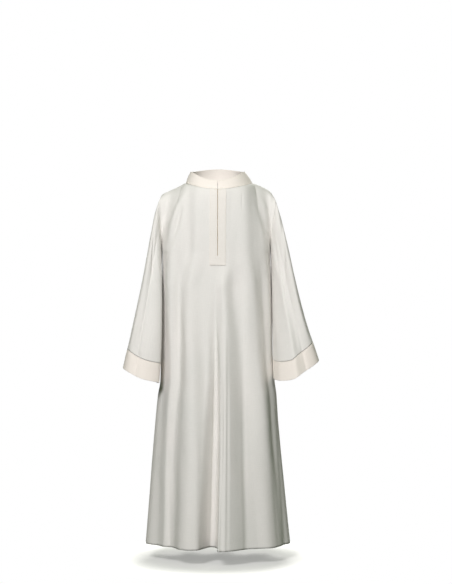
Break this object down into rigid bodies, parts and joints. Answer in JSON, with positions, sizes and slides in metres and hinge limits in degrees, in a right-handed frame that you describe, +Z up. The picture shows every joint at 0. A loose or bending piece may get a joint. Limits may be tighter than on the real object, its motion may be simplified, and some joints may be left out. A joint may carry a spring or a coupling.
{
  "type": "child's first communion alb, worn shape with no wearer",
  "caption": "Child's floor-length A-line alb with band collar, centre-front zip and placket, wide set-in sleeves with deep cuffs, hanging in soft folds.",
  "frame": {"origin": "between the shoulders, at the level where the garment rests on the wearer's shoulders beside the neck", "axes": "+Z up, -Y the way the front faces, +X to the right of someone facing the front"},
  "size_m": [0.5783, 0.3704, 1.123],
  "materials": {
    "cloth": "fine plain weave, ivory, soft with a slight sheen",
    "band": "the same ivory cloth in two pressed layers, topstitched",
    "zip": "beige woven tape with a fine plastic chain"
  },
  "bodies": {
    "root": {"front_panel": "cloth", "back_panel": "cloth", "sleeve_left": "cloth", "sleeve_right": "cloth", "cuff_left": "band", "cuff_right": "band", "collar": "band", "placket": "band", "zip": "zip"}
  },
  "joints": []
}
